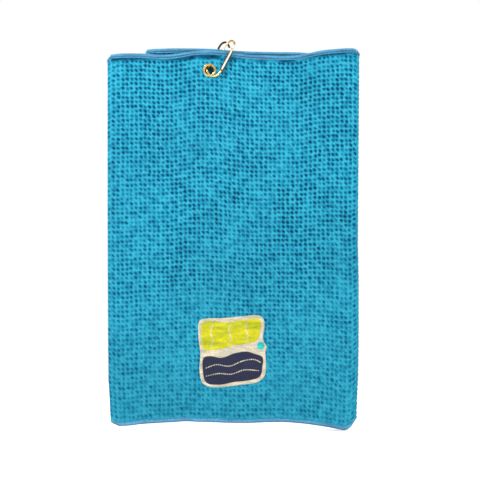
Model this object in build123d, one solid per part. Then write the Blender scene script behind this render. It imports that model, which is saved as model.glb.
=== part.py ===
from build123d import *
from dataclasses import dataclass
import math
import os

# Golf towel: a waffle-weave cloth folded into three layers, hemmed all round with
# binding tape, with an embroidered emblem, a rolled eyelet and a sprung wire clip.
# Millimetres, +Z up. X runs across the towel, Y through its thickness: the front
# face looks towards -Y. The base is at Z = 0 and the stack is centred about Y = 0.

os.makedirs("parts", exist_ok=True)

# ---------------------------------------------------------------- driving dimensions
Y_SHIFT = -2.025       # moves every piece from the Y values below to the final frame

CLOTH_T = 1.5          # thickness of the waffle cloth
TAPE_T = 0.3           # thickness of the binding tape on each face of the cloth
TAPE_H = 5.0           # width of the binding seen on one face
TAPE_EDGE = 0.6        # tape beyond the raw edge of the cloth
SQUEEZE = 0.1          # the rear binding presses into the cloth
SQUEEZE_MARGIN = 0.5   # squeezed cloth beyond the tape
SQUEEZE_END = 0.2      # squeezed cloth at the left end of the layer

STITCH_IN = 3.9        # hem edge to stitch row
STITCH_H = 0.35        # width of the sewing thread row
STITCH_T = 0.15        # height of the thread above the tape
STITCH_END = 0.4       # gap between a row and the layer's end or the next row

Y_FRONT = 0.0          # front face of the front layer
Y_MIDDLE = 2.5         # front face of the middle layer
Y_REAR = 7.3           # front face of the rear layer
MIDDLE_LIFT = 1.0      # the inner hems sit a little above the front one
REAR_LIFT = 0.6

X_LEFT = -129.75       # where the flat layers meet the left fold
X_RIGHT = 132.15       # where the flat layers meet the right fold
X_MIDDLE_EDGE = -93.7  # free edge of the middle layer
X_REAR_EDGE = 133.6    # free edge of the rear layer
FOLD_GAP = 0.3         # slack between the left fold and the rear layer
LEFT_FOLD_Z = (4.9, 399.6)
RIGHT_FOLD_Z = (11.0, 405.6)

EYELET_X, EYELET_Z = -25.49, 384.12
EYELET_HOLE_R = 5.3    # hole punched in the cloth
POCKET_R = 7.4         # where the eyelet squeezes the cloth
POCKET_D = 0.5
CUT_CLEAR = 1          # cutters run this far past the cloth

# Hem lines as (x, z), left to right. The bottom line is shared by all layers.
FRONT_TOP = [
    (-129.75, 400.23), (-125.23, 401.19), (-110.3, 402.04), (-94.3, 401.83), (-78.3, 400.55),
    (-65.5, 400.87), (-54.83, 402.47), (-44.16, 404.39), (-30.29, 405.35), (-18.56, 405.13),
    (-3.63, 403.32), (12.37, 400.97), (33.71, 399.69), (55.04, 399.59), (71.04, 400.33),
    (81.71, 402.79), (94.51, 405.24), (111.58, 406.95), (124.38, 407.48), (132.15, 406.5)]
MIDDLE_TOP = [
    (-93.7, 405.88), (-88.96, 406.73), (-78.3, 407.37), (-61.23, 407.8), (-35.63, 407.59),
    (-19.63, 407.05), (1.71, 405.24), (17.71, 404.39), (39.04, 403.85), (71.04, 403.53),
    (82.78, 402.89), (97.71, 403.75), (113.71, 405.45), (124.38, 406.09), (132.15, 406.09)]
REAR_TOP = [
    (-129.75, 399.69), (-110.3, 400.12), (-88.96, 399.27), (-56.96, 399.05), (-30.29, 401.19),
    (-3.63, 400.12), (33.71, 397.99), (71.04, 398.63), (103.04, 401.72), (124.38, 403.32),
    (133.6, 403.32)]
BOTTOM = [
    (-129.75, 4.8), (-123.1, 4.16), (-114.56, 4.59), (-99.63, 6.29), (-82.56, 7.57),
    (-65.5, 8.53), (-52.69, 9.28), (-39.89, 8.75), (-22.83, 8.43), (2.77, 7.57),
    (19.84, 7.68), (39.04, 8.53), (56.11, 8.43), (71.04, 7.36), (88.11, 5.44),
    (105.18, 2.88), (115.84, 0.85), (122.24, 0.0), (126.51, 1.6), (129.92, 4.8),
    (132.15, 8.6), (133.6, 11.0)]


@dataclass
class Layer:
    """One flat layer of the towel between x0 and x1, with its front face at y."""
    top: list              # top hem line
    x0: float
    x1: float
    y: float
    lift: float            # rise of its bottom hem above BOTTOM
    free: str = None       # which end is a free edge: "left", "right" or None
    squeeze: float = 0.0   # how far the binding presses the cloth in on its rear side

    def bottom(self):
        return [(x, z + self.lift) for x, z in BOTTOM]


LAYERS = {
    "front": Layer(FRONT_TOP, X_LEFT, X_RIGHT, Y_FRONT, lift=0.0),
    "middle": Layer(MIDDLE_TOP, X_MIDDLE_EDGE, X_RIGHT, Y_MIDDLE, MIDDLE_LIFT, free="left"),
    "rear": Layer(REAR_TOP, X_LEFT + FOLD_GAP, X_REAR_EDGE, Y_REAR, REAR_LIFT,
                  free="right", squeeze=SQUEEZE),
}


# ---------------------------------------------------------------- helpers
def solids_of(*shapes):
    return [solid for shape in shapes for solid in shape.solids()]


def save(name, *shapes):
    """Write the solids of the shapes, moved to the final frame, as one STEP file."""
    solids = [Pos(0, Y_SHIFT, 0) * solid for solid in solids_of(*shapes)]
    out = solids[0] if len(solids) == 1 else Compound(solids)
    out.label = name
    export_step(out, f"parts/{name}.step")


def block(x0, x1, y0, y1, z0, z1):
    centre = Pos((x0 + x1) / 2, (y0 + y1) / 2, (z0 + z1) / 2)
    return centre * Box(x1 - x0, y1 - y0, z1 - z0)


def disc(x, z, radius, y0, y1):
    """Cylinder with its axis along Y."""
    return Pos(x, (y0 + y1) / 2, z) * Rot(90, 0, 0) * Cylinder(radius, y1 - y0)


def blob(points, y0, y1):
    """Closed smooth outline in the XZ plane, given a thickness along Y."""
    edge = Edge.make_spline([Vector(x, y0, z) for x, z in points], periodic=True)
    return extrude(Face(Wire([edge])), amount=y1 - y0, dir=(0, 1, 0))


def sheet(upper, lower, y0, y1):
    """Flat layer between two lines of (x, z) points that share their first and last x."""
    above = [Vector(x, y0, z) for x, z in upper]
    below = [Vector(x, y0, z) for x, z in lower]
    upper_edge = Edge.make_spline(above)
    lower_edge = Edge.make_spline(below)
    left = Edge.make_line(below[0], above[0])
    right = Edge.make_line(above[-1], below[-1])
    face = Face(Wire([left, upper_edge, right, lower_edge]))
    return extrude(face, amount=y1 - y0, dir=(0, 1, 0))


def hem_height(hem, x):
    """Height of a hem line at x, by a cubic Hermite curve through its points."""
    last = len(hem) - 2
    i = 0
    while i < last and x > hem[i + 1][0]:
        i += 1
    (x0, z0), (x1, z1) = hem[i], hem[i + 1]
    width = x1 - x0
    slope0 = slope1 = (z1 - z0) / width
    if i > 0:
        slope0 = (z1 - hem[i - 1][1]) / (x1 - hem[i - 1][0])
    if i < last:
        slope1 = (hem[i + 2][1] - z0) / (hem[i + 2][0] - x0)
    t = (x - x0) / width
    return ((2 * t ** 3 - 3 * t ** 2 + 1) * z0 + (t ** 3 - 2 * t ** 2 + t) * width * slope0
            + (3 * t ** 2 - 2 * t ** 3) * z1 + (t ** 3 - t ** 2) * width * slope1)


def hem_line(hem, x0, x1, dz, spans=26):
    """Points of a hem line between two x values, moved by dz."""
    stations = [x0 + (x1 - x0) * i / spans for i in range(spans + 1)]
    return [(x, hem_height(hem, x) + dz) for x in stations]


# ---------------------------------------------------------------- flat layers
def cloth_sheet(layer):
    """Cloth of one layer, held back by the tape edge at the hems and the free end."""
    top, bottom = layer.top, layer.bottom()
    x0 = layer.x0 + (TAPE_EDGE if layer.free == "left" else 0.0)
    x1 = layer.x1 - (TAPE_EDGE if layer.free == "right" else 0.0)
    y_rear = layer.y + CLOTH_T
    cloth = sheet(hem_line(top, x0, x1, -TAPE_EDGE), hem_line(bottom, x0, x1, TAPE_EDGE),
                  layer.y, y_rear - layer.squeeze)
    if layer.squeeze:
        # full thickness only inside the binding
        inset = TAPE_H + SQUEEZE_MARGIN
        x0, x1 = layer.x0 + SQUEEZE_END, layer.x1 - inset
        cloth = cloth + sheet(hem_line(top, x0, x1, -inset), hem_line(bottom, x0, x1, inset),
                              y_rear - layer.squeeze, y_rear)
    return cloth


def bindings(layer, cloth):
    """Top, bottom and, on a free edge, side binding of one layer."""
    top, bottom, x0, x1 = layer.top, layer.bottom(), layer.x0, layer.x1
    faces = (layer.y - TAPE_T, layer.y + CLOTH_T + TAPE_T)
    strips = {
        "top": sheet(hem_line(top, x0, x1, 0), hem_line(top, x0, x1, -TAPE_H), *faces) - cloth,
        "bottom": sheet(hem_line(bottom, x0, x1, TAPE_H), hem_line(bottom, x0, x1, 0),
                        *faces) - cloth,
    }
    if layer.free:
        side0, side1 = (x0, x0 + TAPE_H) if layer.free == "left" else (x1 - TAPE_H, x1)
        strips["side"] = sheet(hem_line(top, side0, side1, -TAPE_H, spans=4),
                               hem_line(bottom, side0, side1, TAPE_H, spans=4), *faces) - cloth
    return strips


def stitching(layer):
    """Sewing thread rows on both faces of one layer's binding."""
    top, bottom = layer.top, layer.bottom()
    x0 = layer.x0 + (STITCH_IN if layer.free == "left" else STITCH_END)
    x1 = layer.x1 - (STITCH_IN if layer.free == "right" else STITCH_END)
    inner = STITCH_IN + STITCH_H
    front_tape = layer.y - TAPE_T
    rear_tape = layer.y + CLOTH_T + TAPE_T
    rows = []
    for faces in ((front_tape - STITCH_T, front_tape), (rear_tape, rear_tape + STITCH_T)):
        rows.append(sheet(hem_line(top, x0, x1, -STITCH_IN),
                          hem_line(top, x0, x1, -inner), *faces))
        rows.append(sheet(hem_line(bottom, x0, x1, inner),
                          hem_line(bottom, x0, x1, STITCH_IN), *faces))
        if layer.free:
            side0, side1 = (x0, x0 + STITCH_H) if layer.free == "left" else (x1 - STITCH_H, x1)
            middle = (side0 + side1) / 2
            z0 = hem_height(bottom, middle) + inner + STITCH_END
            z1 = hem_height(top, middle) - inner - STITCH_END
            rows.append(block(side0, side1, *faces, z0, z1))
    return rows


def punch(cloth, pocket_y0, pocket_y1):
    """Cut the eyelet hole and the pocket where the eyelet squeezes the cloth."""
    hole = disc(EYELET_X, EYELET_Z, EYELET_HOLE_R,
                Y_FRONT - CUT_CLEAR, Y_MIDDLE + CLOTH_T + CUT_CLEAR)
    return cloth - hole - disc(EYELET_X, EYELET_Z, POCKET_R, pocket_y0, pocket_y1)


Y_MIDDLE_REAR = Y_MIDDLE + CLOTH_T       # rear face of the middle layer
POCKETS = {                              # y range of the pocket cutter in each punched layer
    "front": (Y_FRONT - CUT_CLEAR, Y_FRONT + POCKET_D),
    "middle": (Y_MIDDLE_REAR - POCKET_D, Y_MIDDLE_REAR + CUT_CLEAR),
}

for name, layer in LAYERS.items():
    cloth = cloth_sheet(layer)
    for place, strip in bindings(layer, cloth).items():
        save(f"{name}_{place}_binding", strip)
    if name in POCKETS:
        cloth = punch(cloth, *POCKETS[name])
    save(f"{name}_panel", cloth)
    save(f"{name}_stitching", *stitching(layer))


# ---------------------------------------------------------------- folds
def fold(x, y_other, z0, z1, side):
    """Cloth and binding turned half a circle from the front layer to the one at y_other.

    side is -1 for a fold bulging to the left and 1 for one bulging to the right."""
    y_centre = (Y_FRONT + y_other + CLOTH_T) / 2
    mid_r = (y_other - Y_FRONT) / 2
    reach = 20         # half-size of the block that keeps one half of the ring

    def half_ring(inner_r, outer_r, low, high):
        ring = Cylinder(outer_r, high - low) - Cylinder(inner_r, high - low)
        ring = Pos(x, y_centre, (low + high) / 2) * ring
        x0, x1 = sorted((x, x + side * reach))
        return ring & block(x0, x1, y_centre - reach, y_centre + reach, low - 1, high + 1)

    cloth = half_ring(mid_r - CLOTH_T / 2, mid_r + CLOTH_T / 2, z0 + TAPE_EDGE, z1 - TAPE_EDGE)
    tape_radii = (mid_r - CLOTH_T / 2 - TAPE_T, mid_r + CLOTH_T / 2 + TAPE_T)
    upper = half_ring(*tape_radii, z1 - TAPE_H, z1) - cloth
    lower = half_ring(*tape_radii, z0, z0 + TAPE_H) - cloth
    return cloth, upper, lower


for name, x, y_other, z_range, side in (("left_fold", X_LEFT, Y_REAR, LEFT_FOLD_Z, -1),
                                        ("right_fold", X_RIGHT, Y_MIDDLE, RIGHT_FOLD_Z, 1)):
    cloth, upper_tape, lower_tape = fold(x, y_other, *z_range, side)
    save(name, cloth)
    save(f"{name}_binding", upper_tape, lower_tape)

# ---------------------------------------------------------------- eyelet
BORE_R = 4.75
BARREL_R = 5.25
FLANGE_R = 7.05        # outer edge of the front rim
LIP_R = 6.3            # outer edge of the rear lip, also the outer end of the rim's crown
LIP_T = 0.3
RIM_START_Y = 0.1      # where the rolled rim leaves the bore
WASHER_R, WASHER_T = 7.0, 0.48
WASHER_GAP = 0.01      # between the washer and the floor of the pocket


def eyelet_barrel():
    """Rolled front rim, tube and set lip at the rear, turned about Y."""
    lip_y = Y_MIDDLE_REAR
    with BuildPart() as barrel:
        with BuildSketch(Plane.XY):
            with BuildLine():
                # radius along X, depth along Y
                Polyline((BORE_R, RIM_START_Y), (BORE_R, lip_y + LIP_T), (LIP_R, lip_y + LIP_T),
                         (LIP_R, lip_y), (BARREL_R, lip_y), (BARREL_R, POCKET_D),
                         (FLANGE_R, POCKET_D))
                ThreePointArc((FLANGE_R, POCKET_D), (FLANGE_R, 0.1), (LIP_R, -0.35))
                ThreePointArc((LIP_R, -0.35), (5.45, -0.4), (BORE_R, RIM_START_Y))
            make_face()
        revolve(axis=Axis.Y)
    return Pos(EYELET_X, 0, EYELET_Z) * barrel.part


def eyelet_washer():
    washer = Cylinder(WASHER_R, WASHER_T) - Cylinder(BARREL_R + 0.05, 1)
    y = Y_MIDDLE_REAR - POCKET_D + WASHER_T / 2 + WASHER_GAP
    return Pos(EYELET_X, y, EYELET_Z) * Rot(90, 0, 0) * washer


save("eyelet_barrel", eyelet_barrel())
save("eyelet_washer", eyelet_washer())

# ---------------------------------------------------------------- emblem
# Outlines as (x, z).
EMBLEM_BACKING = [
    (-36.7, 115.3), (-29.2, 119.0), (-12.2, 119.6), (7.0, 121.2), (24.1, 122.8),
    (31.6, 119.6), (33.2, 110.0), (31.4, 98.2), (35.3, 89.7), (34.2, 82.2),
    (34.8, 70.5), (33.2, 57.7), (24.1, 50.8), (7.0, 48.3), (-10.0, 46.0),
    (-26.0, 46.5), (-34.0, 52.4), (-36.2, 66.2), (-35.1, 81.2), (-37.2, 98.2)]
EMBLEM_FLAG = [
    (-33.5, 113.2), (-25.0, 116.4), (-10.0, 114.8), (7.0, 116.9), (24.1, 119.0),
    (29.4, 115.8), (28.4, 104.6), (25.0, 96.2), (15.6, 92.6), (0.6, 90.4),
    (-14.3, 86.6), (-29.2, 85.4), (-33.5, 90.6), (-34.0, 101.4)]
EMBLEM_MOUND = [
    (-32.4, 75.8), (-25.0, 79.0), (-12.2, 77.4), (0.6, 82.0), (13.4, 84.0),
    (22.5, 81.6), (31.0, 78.0), (31.0, 68.4), (28.4, 57.7), (17.7, 53.4),
    (0.6, 51.3), (-14.3, 48.6), (-27.1, 49.7), (-31.9, 57.7)]
BALL_X, BALL_Z, BALL_R = 29.2, 90.2, 4.0
BACKING_T = 0.35
MOTIF_T = 0.45         # flag and mound, on the backing
BALL_T = 0.55

Y_BACKING = Y_FRONT - BACKING_T
save("emblem_backing", blob(EMBLEM_BACKING, Y_BACKING, Y_FRONT))
save("emblem_flag", blob(EMBLEM_FLAG, Y_BACKING - MOTIF_T, Y_BACKING))
save("emblem_mound", blob(EMBLEM_MOUND, Y_BACKING - MOTIF_T, Y_BACKING))
save("emblem_ball", disc(BALL_X, BALL_Z, BALL_R, Y_BACKING - BALL_T, Y_BACKING))

# ---------------------------------------------------------------- clip dimensions
WIRE_R = 1.1           # wire of the clip
GATE_Y = -3.2          # mid-plane of the gate
GATE_TILT = 27.87      # lean of the gate from vertical towards +X, degrees
RIVET = Vector(-12.69, GATE_Y, 383.27)
RIVET_R = 0.6
RIVET_HEAD_R = 1.1
RIVET_HEAD_T, RIVET_TAIL_T = 0.35, 0.25
CHANNEL_W = 3.4        # gate channel, outside
CHANNEL_GAP = 2.4      # between its cheeks
CHANNEL_L = 22.9       # rivet to the open end
HEEL_H = 6.4           # height cleared between the cheeks around the rivet
EYE_R = 1.9
EYE_T = 1.2
NECK_START = 1.45      # rivet to where the neck leaves the flattened eye
LUG_L = 2.83           # rivet to where the round wire starts
TONGUE_W, TONGUE_L = 2.0, 4.6
SPRING_T = 0.45        # width and thickness of the spring
COIL_R, COIL_BORE_R = 1.3, 0.75
SPRING_LEG_X, SPRING_LEG_L = 1.05, 9

# Gate frame: origin on the rivet, Z along the gate.
GATE_FRAME = Pos(RIVET.X, RIVET.Y, RIVET.Z) * Rot(0, GATE_TILT, 0)

# Centre line of the clip wire as (x, y, z): from the hinge eye through the eyelet
BOW_DIR = Vector(-1.71, 0, -2.25).normalized()
BOW = [
    tuple(RIVET + BOW_DIR * LUG_L), tuple(RIVET + BOW_DIR * (LUG_L + 1.3)),
    (-16.6, -2.88, 378.6), (-18.99, -2.4, 377.51), (-21.76, -2.05, 377.29),
    (-24.53, -1.88, 378.36), (-26.77, -1.75, 380.71), (-28.11, -1.2, 383.16),
    (-28.32, 0.2, 384.65), (-28.11, 2.0, 385.4), (-27.68, 3.7, 386.15),
    (-26.93, 5.1, 387.43), (-25.71, 5.7, 389.45)]
# Top bow, from the straight rear leg to the nose, as (x, y, z)
TOP_BOW = [
    (-17.92, 5.7, 404.07), (-16.21, 5.6, 407.37), (-14.72, 5.0, 410.15),
    (-12.8, 3.6, 412.39), (-10.03, 1.1, 413.56), (-7.47, -1.0, 413.24),
    (-5.87, -1.72, 411.53), (-4.8, -1.75, 409.4), (-3.95, -1.75, 407.59)]
BOW_SPANS, TOP_BOW_SPANS = 14, 8

# Hooked wire at the free end of the gate, as (x, z): foot, centre of the crook, end
HOOK_FOOT = (-4.48, 398.84)
HOOK_CENTRE, HOOK_R = (-1.75, 411.5), 3.0
HOOK_CROOK = 123.4     # where the crook runs out into the return leg, degrees
HOOK_END = (-11.09, 404.6)
HOOK_OFFSET = 0.9      # joggle towards the front, so that the crook clears the top bow
JOGGLE_R, JOGGLE_AT = 8.0, 3.6


# ---------------------------------------------------------------- wire helpers
def bend(start, tangent, centre, angle):
    """Wire bent round a centre by an angle in degrees; also its end and its end direction."""
    arm = start - centre
    turn = math.radians(angle)
    ring = Plane(origin=start, z_dir=tangent) * Circle(WIRE_R)
    piece = revolve(ring, axis=Axis(centre, arm.cross(tangent)), revolution_arc=angle)
    end = centre + arm * math.cos(turn) + tangent * (arm.length * math.sin(turn))
    end_dir = (tangent * math.cos(turn) - arm.normalized() * math.sin(turn)).normalized()
    return piece, end, end_dir


def straight(start, tangent, length):
    """Straight wire; also its end."""
    piece = Solid.make_cylinder(WIRE_R, length, Plane(origin=start, z_dir=tangent))
    return piece, start + tangent * length


def arc_to(start, tangent, end):
    """Wire bent in one arc from a start and its direction to an end; also its end direction."""
    chord = end - start
    chord_dir = chord.normalized()
    half = math.acos(max(-1, min(1, chord_dir.dot(tangent))))
    side = (chord_dir - tangent * chord_dir.dot(tangent)).normalized()
    centre = start + side * (chord.length / (2 * math.sin(half)))
    piece, _, end_dir = bend(start, tangent, centre, math.degrees(2 * half))
    return piece, end_dir


def bow_pieces(points, first_dir, last_dir, spans):
    """Wire along a smooth curve through the points, as pairs of arcs that meet without a kink.

    Without a last_dir the wire ends along the curve's own direction."""
    points = [Vector(*point) for point in points]
    path = Edge.make_spline(points)
    pieces = []
    start, start_dir = points[0], first_dir
    for k in range(1, spans + 1):
        end = path @ (k / spans)
        end_dir = last_dir
        if k < spans or last_dir is None:
            end_dir = (path % (k / spans)).normalized()
        # reach: equal tangent lengths at both ends that place the joint of the two arcs
        chord, both = end - start, start_dir + end_dir
        spread = 2 * (1 - start_dir.dot(end_dir))
        along = chord.dot(both)
        reach = (math.sqrt(along ** 2 + spread * chord.dot(chord)) - along) / spread
        joint = (start + end + (start_dir - end_dir) * reach) * 0.5
        first_arc, joint_dir = arc_to(start, start_dir, joint)
        second_arc, _ = arc_to(joint, joint_dir, end)
        pieces += [first_arc, second_arc]
        start, start_dir = end, end_dir
    return pieces


# ---------------------------------------------------------------- clip frame
def clip_wire():
    """Bow, straight rear leg and top bow."""
    foot, knee = Vector(*BOW[-1]), Vector(*TOP_BOW[0])
    leg_dir = (knee - foot).normalized()
    pieces = bow_pieces(BOW, BOW_DIR, leg_dir, BOW_SPANS)
    pieces.append(straight(foot, leg_dir, (knee - foot).length)[0])
    pieces += bow_pieces(TOP_BOW, leg_dir, None, TOP_BOW_SPANS)
    pieces = solids_of(*pieces)
    return pieces[0].fuse(*pieces[1:])


def hinge_lug():
    """Flattened eye on the rivet, with a tongue up the gate and a neck to the bow."""
    eye = disc(RIVET.X, RIVET.Z, EYE_R, GATE_Y - EYE_T / 2, GATE_Y + EYE_T / 2)
    tongue = GATE_FRAME * Pos(0, 0, TONGUE_L / 2) * Box(TONGUE_W, EYE_T, TONGUE_L)
    neck = Solid.make_cylinder(WIRE_R, LUG_L - NECK_START,
                               Plane(origin=RIVET + BOW_DIR * NECK_START, z_dir=BOW_DIR))
    lug = eye + tongue + neck
    return lug - disc(RIVET.X, RIVET.Z, RIVET_R + 0.05, GATE_Y - 3, GATE_Y + 3)


save("clip_wire", clip_wire())
save("clip_hinge_lug", hinge_lug())


# ---------------------------------------------------------------- gate
def hooked_wire():
    """Straight foot, joggle, straight, crook, and a long curved return leg."""
    start = Vector(HOOK_FOOT[0], GATE_Y, HOOK_FOOT[1])
    to_centre = Vector(HOOK_CENTRE[0] - HOOK_FOOT[0], 0, HOOK_CENTRE[1] - HOOK_FOOT[1])
    # the straight part is tangent to the crook
    run = math.sqrt(to_centre.length ** 2 - HOOK_R ** 2)
    lean = math.atan2(to_centre.Z, to_centre.X) - math.asin(HOOK_R / to_centre.length)
    along = Vector(math.cos(lean), 0, math.sin(lean))
    forward = Vector(0, -1, 0)
    joggle = math.degrees(math.acos(1 - HOOK_OFFSET / (2 * JOGGLE_R)))
    turn = math.radians(joggle)
    joggle_run = 2 * JOGGLE_R * math.sin(turn)

    foot, end = straight(start, along, JOGGLE_AT)
    joggle_out, end, end_dir = bend(end, along, end + forward * JOGGLE_R, joggle)
    arm = along * math.sin(turn) - forward * math.cos(turn)
    joggle_back, end, _ = bend(end, end_dir, end + arm * JOGGLE_R, joggle)
    shank, end = straight(end, along, run - JOGGLE_AT - joggle_run)
    centre = Vector(HOOK_CENTRE[0], end.Y, HOOK_CENTRE[1])
    start_angle = math.degrees(math.atan2(end.Z - centre.Z, end.X - centre.X))
    crook, end, end_dir = bend(end, along, centre, HOOK_CROOK - start_angle)
    return_leg, _ = arc_to(end, end_dir, Vector(HOOK_END[0], end.Y, HOOK_END[1]))
    return foot + joggle_out + joggle_back + shank + crook + return_leg


def gate_channel(hook):
    """U channel with its web on the -X side, rounded round the rivet, cut to fit the hook."""
    channel = Pos(0, 0, CHANNEL_L / 2) * Box(CHANNEL_W, CHANNEL_W, CHANNEL_L)
    channel = channel + Rot(90, 0, 0) * Cylinder(CHANNEL_W / 2, CHANNEL_W)
    slot = Pos(CHANNEL_W / 2, 0, CHANNEL_L / 2) * Box(CHANNEL_W + CHANNEL_GAP, CHANNEL_GAP,
                                                      CHANNEL_L * 2)
    heel = Box(8, CHANNEL_GAP, HEEL_H)
    channel = channel - slot - heel
    long_edges = channel.edges().filter_by(lambda edge: abs(edge.length - CHANNEL_L) < 0.6)
    # the fillet may fail on the long edges: the channel then keeps them sharp
    try:
        channel = fillet(long_edges, 0.4)
    except Exception:
        pass
    channel = channel - Rot(90, 0, 0) * Cylinder(RIVET_R + 0.02, 10)
    return GATE_FRAME * channel - hook


def gate_rivet():
    """Shank with a chamfered head at the front and a plain tail at the rear."""
    y_front, y_rear = GATE_Y - CHANNEL_W / 2, GATE_Y + CHANNEL_W / 2
    shank = disc(RIVET.X, RIVET.Z, RIVET_R, y_front, y_rear)
    head = disc(RIVET.X, RIVET.Z, RIVET_HEAD_R, y_front - RIVET_HEAD_T, y_front)
    tail = disc(RIVET.X, RIVET.Z, RIVET_HEAD_R, y_rear, y_rear + RIVET_TAIL_T)
    head = chamfer(head.edges().sort_by(Axis.Y)[0], 0.2)
    return head + shank + tail


def gate_spring():
    """Flat coil behind the hinge eye, with a leg up the gate."""
    y = EYE_T / 2 + 0.05 + SPRING_T / 2
    coil = Cylinder(COIL_R, SPRING_T) - Cylinder(COIL_BORE_R, 1)
    coil = Pos(0, y, 0) * Rot(90, 0, 0) * coil
    leg = Pos(SPRING_LEG_X, y, SPRING_LEG_L / 2) * Box(SPRING_T, SPRING_T, SPRING_LEG_L)
    return GATE_FRAME * (coil + leg)


hook = hooked_wire()
save("gate_channel", gate_channel(hook))
save("gate_hook", hook)
save("gate_rivet", gate_rivet())
save("gate_spring", gate_spring())
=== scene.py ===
"""A waffle-weave towel folded into three flat layers, with taped hems, a stitched emblem
and a brass eyelet and clip.

X runs across the towel, Z up its height, and the front layer faces -Y. Cloth is worked out
in millimetres and turned into metres as each mesh is made. The bodies are "towel" (front and
middle layers) and "rear_layer"; the fold on the left (-X) joins the two.
"""
import math
from collections import namedtuple

import bmesh
import bpy
import numpy as np
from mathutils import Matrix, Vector


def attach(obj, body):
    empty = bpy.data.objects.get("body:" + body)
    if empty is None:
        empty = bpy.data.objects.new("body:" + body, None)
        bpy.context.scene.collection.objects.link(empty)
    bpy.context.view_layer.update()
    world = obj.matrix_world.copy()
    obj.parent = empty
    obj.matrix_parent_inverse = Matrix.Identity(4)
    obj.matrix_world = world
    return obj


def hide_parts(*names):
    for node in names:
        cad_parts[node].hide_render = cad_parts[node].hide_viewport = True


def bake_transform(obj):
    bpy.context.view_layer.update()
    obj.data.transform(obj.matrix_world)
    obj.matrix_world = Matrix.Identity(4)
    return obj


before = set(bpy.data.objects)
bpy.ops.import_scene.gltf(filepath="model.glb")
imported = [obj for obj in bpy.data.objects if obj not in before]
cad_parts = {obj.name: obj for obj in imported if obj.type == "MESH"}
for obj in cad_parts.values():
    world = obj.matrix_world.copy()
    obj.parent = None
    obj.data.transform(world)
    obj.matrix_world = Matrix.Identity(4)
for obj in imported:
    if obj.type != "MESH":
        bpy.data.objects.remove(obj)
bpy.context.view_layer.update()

# ------------------------------------------------------------------ sizes in millimetres
MM = 1000.0                   # millimetres in a metre
CLOTH_T = 1.5                 # cloth thickness
FRONT_Y = -2.025              # front face of the front layer
LEFT, RIGHT = -129.75, 132.15
MIDDLE_LEFT = -93.7           # open side edge of the middle layer
REAR_RIGHT = 133.6            # open side edge of the rear layer
EYELET_X, EYELET_Z = -25.49, 384.12
HOLE_RADIUS = 5.6
PIT_PITCH = 4.77              # waffle pit spacing along X
PIT_ROWS = 79
CELL_STEPS = 4                # mesh steps per waffle cell
CELL_ORIGIN = 40              # keeps cell numbers positive
PIT_DEPTH = 1.15
CLOTH_INSET = 1.2             # cloth edge inside the hem's edge
HEM_DEPTH = 5.0
SEAM_INSET = 3.75             # stitch line from the hem's edge
STITCH_PITCH = 3.1
EMBLEM_X, EMBLEM_Z = -1.0, 84.0
EMBLEM_RX, EMBLEM_RZ = 40.0, 42.0

# Hem edges as (x, z), left to right
FRONT_TOP = [
    (-129.75, 400.9), (-125.23, 401.5), (-110.3, 402.1), (-94.3, 401.83), (-78.3, 400.55),
    (-65.5, 400.87), (-54.83, 402.47), (-44.16, 404.39), (-30.29, 405.35), (-18.56, 405.13),
    (-3.63, 403.32), (12.37, 400.97), (33.71, 399.69), (55.04, 399.59), (71.04, 400.33),
    (81.71, 402.79), (94.51, 405.24), (111.58, 406.95), (124.38, 407.6), (129.5, 407.2),
    (132.15, 405.6)]
MIDDLE_TOP = [
    (-93.7, 403.6), (-92.2, 405.9), (-88.96, 406.73), (-78.3, 407.37), (-61.23, 407.8),
    (-35.63, 407.59), (-19.63, 407.05), (1.71, 405.24), (17.71, 404.39), (39.04, 403.85),
    (71.04, 403.53), (82.78, 402.89), (97.71, 403.75), (113.71, 405.0), (124.38, 405.6),
    (132.15, 405.2)]
REAR_TOP = [
    (-129.75, 400.4), (-110.3, 400.12), (-88.96, 399.27), (-56.96, 399.05), (-30.29, 401.19),
    (-3.63, 400.12), (33.71, 397.99), (71.04, 398.63), (103.04, 401.72), (124.38, 403.32),
    (131.5, 403.2), (133.6, 401.6)]
BOTTOM = [
    (-129.75, 6.2), (-126.5, 4.6), (-120.0, 4.3), (-114.56, 4.59), (-99.63, 6.29),
    (-82.56, 7.57), (-65.5, 8.53), (-52.69, 9.28), (-39.89, 8.75), (-22.83, 8.43),
    (2.77, 7.57), (19.84, 7.68), (39.04, 8.53), (56.11, 8.43), (71.04, 7.36),
    (88.11, 5.44), (105.18, 2.88), (115.84, 0.95), (122.24, 0.2), (126.51, 1.6),
    (129.92, 4.8), (132.15, 8.6), (133.6, 11.0)]

# Sideways lean of the side edges as (z, shift along X)
LEFT_LEAN = [(-5, 3.4), (6, 3.2), (19, 2.3), (40, 1.3), (53, 0.5), (90, 0.1),
             (245, -0.5), (399, -0.5), (420, -0.3)]
RIGHT_LEAN = [(-5, -4.4), (6, -3.6), (15, -2.6), (32, -1.9), (53, -1.0), (90, -0.3),
              (160, -0.3), (200, -1.2), (235, -0.9), (380, 0.2), (420, 0.2)]

# y: front face. lift: bottom edge above BOTTOM. open_side: -1 left, 1 right, 0 none.
# face: the way the waffle face and seams look, -1 to the front or 1 to the back.
Layer = namedtuple("Layer", "name y top left right lift open_side face pierced body")
FRONT = Layer("front", FRONT_Y, FRONT_TOP, LEFT, RIGHT, 0.0, 0, -1, True, "towel")
MIDDLE = Layer("middle", FRONT_Y + 2.5, MIDDLE_TOP, MIDDLE_LEFT, RIGHT, 1.0, -1, 1, True, "towel")
REAR = Layer("rear", FRONT_Y + 7.3, REAR_TOP, LEFT, REAR_RIGHT, 0.6, 1, 1, False, "rear_layer")
LAYERS = (FRONT, MIDDLE, REAR)

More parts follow.
